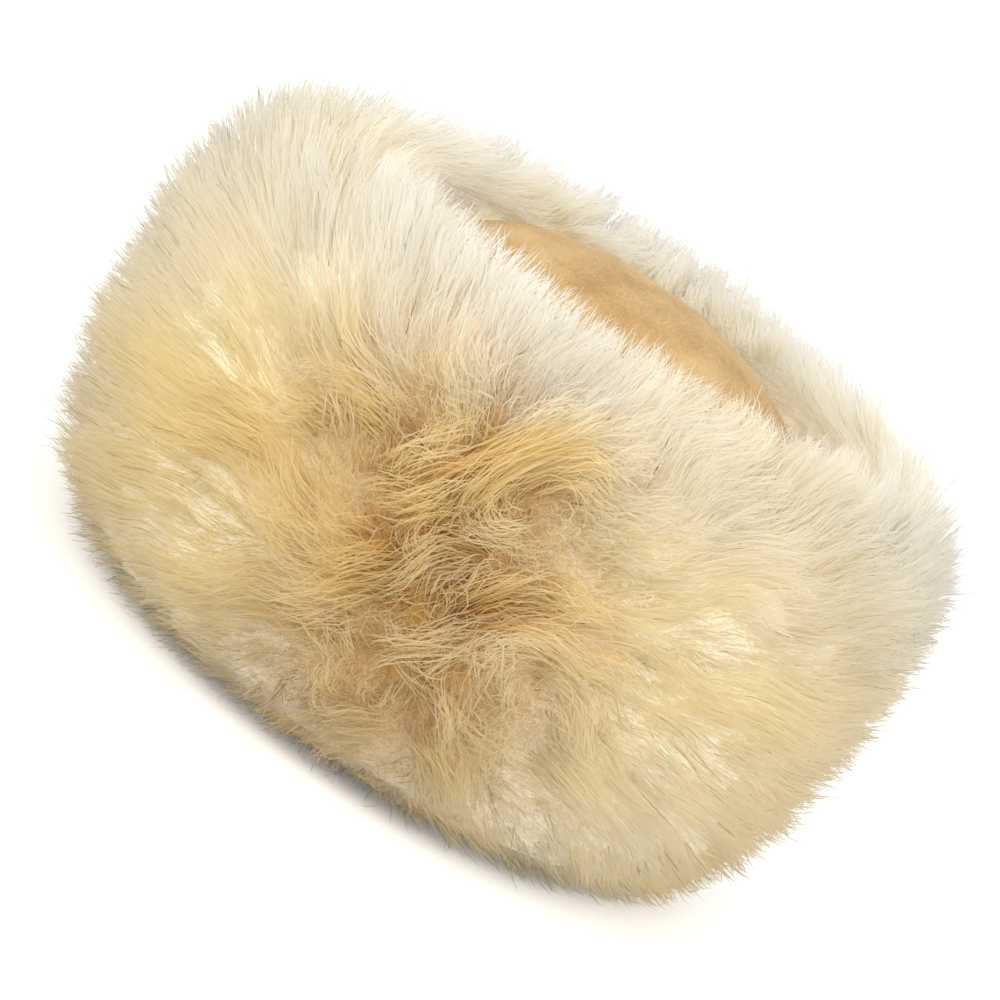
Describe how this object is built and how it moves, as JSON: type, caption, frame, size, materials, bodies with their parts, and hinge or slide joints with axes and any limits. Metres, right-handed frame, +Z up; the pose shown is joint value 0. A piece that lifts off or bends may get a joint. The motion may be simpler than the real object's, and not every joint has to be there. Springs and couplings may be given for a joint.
{
  "type": "sheepskin brimmed hat",
  "caption": "Soft winter hat: a domed tan suede crown ringed by a deep turned-up brim of long cream wool, hollow below for the head.",
  "frame": {"origin": "middle of the hat's footprint on the surface that it rests on", "axes": "+Z up through the top of the crown, front of the hat towards -Y, wearer's left towards +X"},
  "size_m": [0.2956, 0.3218, 0.183],
  "materials": {
    "suede": "brushed tan suede with a short nap, matt",
    "skin": "suede side of tanned sheepskin, matt",
    "wool": "long cream wool in clumped locks, tan-brown at the roots and near white at the tips"
  },
  "bodies": {
    "root": {"crown": "suede", "brim_skin": "skin", "fleece": "wool"}
  },
  "joints": []
}
